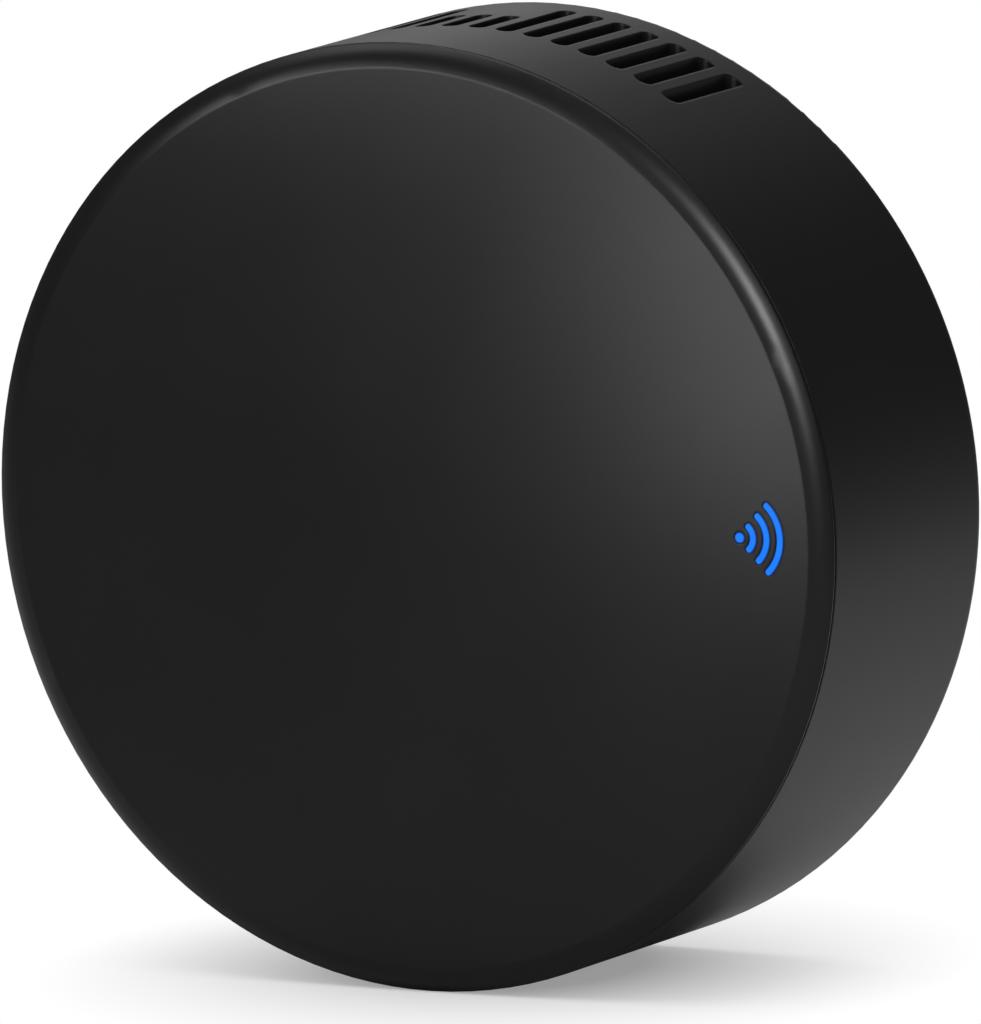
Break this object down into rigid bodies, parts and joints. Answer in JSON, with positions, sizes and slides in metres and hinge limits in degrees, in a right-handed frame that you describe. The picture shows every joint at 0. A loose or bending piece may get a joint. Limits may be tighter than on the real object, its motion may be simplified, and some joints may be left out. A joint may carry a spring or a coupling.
{
  "type": "smart infrared remote blaster",
  "caption": "Round flat puck that sends infrared codes: flat face with a lit signal icon, rounded rim, vented wall, power inlet and reset button, on a rubber foot ring.",
  "frame": {"origin": "centre of the foot ring's underside, on the surface that the puck lies on", "axes": "+Z out of the flat front face, +Y towards the status icon, -X through the vents, -Y out of the power inlet"},
  "size_m": [0.066, 0.066, 0.0226],
  "materials": {
    "cover_plastic": "fine satin black, infrared-clear",
    "housing_plastic": "smooth satin black, infrared-clear",
    "foot_rubber": "matt non-slip",
    "screw_steel": "zinc plated",
    "icon_blue": "clear blue, lit from behind, emissive",
    "shroud_white": "diffusing white",
    "led_package": "moulded white package",
    "board_laminate": "green solder mask over glass laminate",
    "ir_epoxy": "blue-tinted clear epoxy",
    "receiver_epoxy": "infrared-clear black epoxy",
    "radio_laminate": "dark blue solder mask",
    "shield_tin": "tinned sheet",
    "connector_steel": "nickel plated",
    "connector_plastic": "moulded black",
    "switch_plastic": "moulded black",
    "plunger_plastic": "moulded off-white",
    "button_plastic": "satin black",
    "sensor_package": "moulded white package",
    "chip_epoxy": "moulded epoxy",
    "capacitor_can": "drawn can on a moulded base",
    "resistor_film": "glazed film between tinned ends",
    "ceramic_chip": "fired ceramic between tinned ends"
  },
  "bodies": {
    "case": {"front_cover": "cover_plastic", "rear_housing": "housing_plastic", "foot_pad": "foot_rubber", "case_screws": "screw_steel", "icon_lens": "icon_blue", "light_shroud": "shroud_white", "status_led": "led_package", "main_board": "board_laminate", "ir_led_side_1": "ir_epoxy", "ir_led_side_2": "ir_epoxy", "ir_led_side_3": "ir_epoxy", "ir_led_side_4": "ir_epoxy", "ir_led_side_5": "ir_epoxy", "ir_led_side_6": "ir_epoxy", "ir_led_front": "ir_epoxy", "ir_receiver": "receiver_epoxy", "wifi_board": "radio_laminate", "wifi_shield": "shield_tin", "usb_shell": "connector_steel", "usb_tongue": "connector_plastic", "switch_body": "switch_plastic", "climate_sensor": "sensor_package", "regulator": "chip_epoxy", "bulk_capacitor": "capacitor_can", "led_transistors": "chip_epoxy", "chip_resistors": "resistor_film", "chip_capacitors": "ceramic_chip"},
    "button": {"reset_button": "button_plastic", "switch_plunger": "plunger_plastic"}
  },
  "joints": [
    {"name": "reset_press", "type": "slide", "parent": "case", "child": "button", "axis": [-0.3746, 0.9272, 0], "range_m": [0, 0.00025], "stiffness_N_per_m": 400}
  ]
}
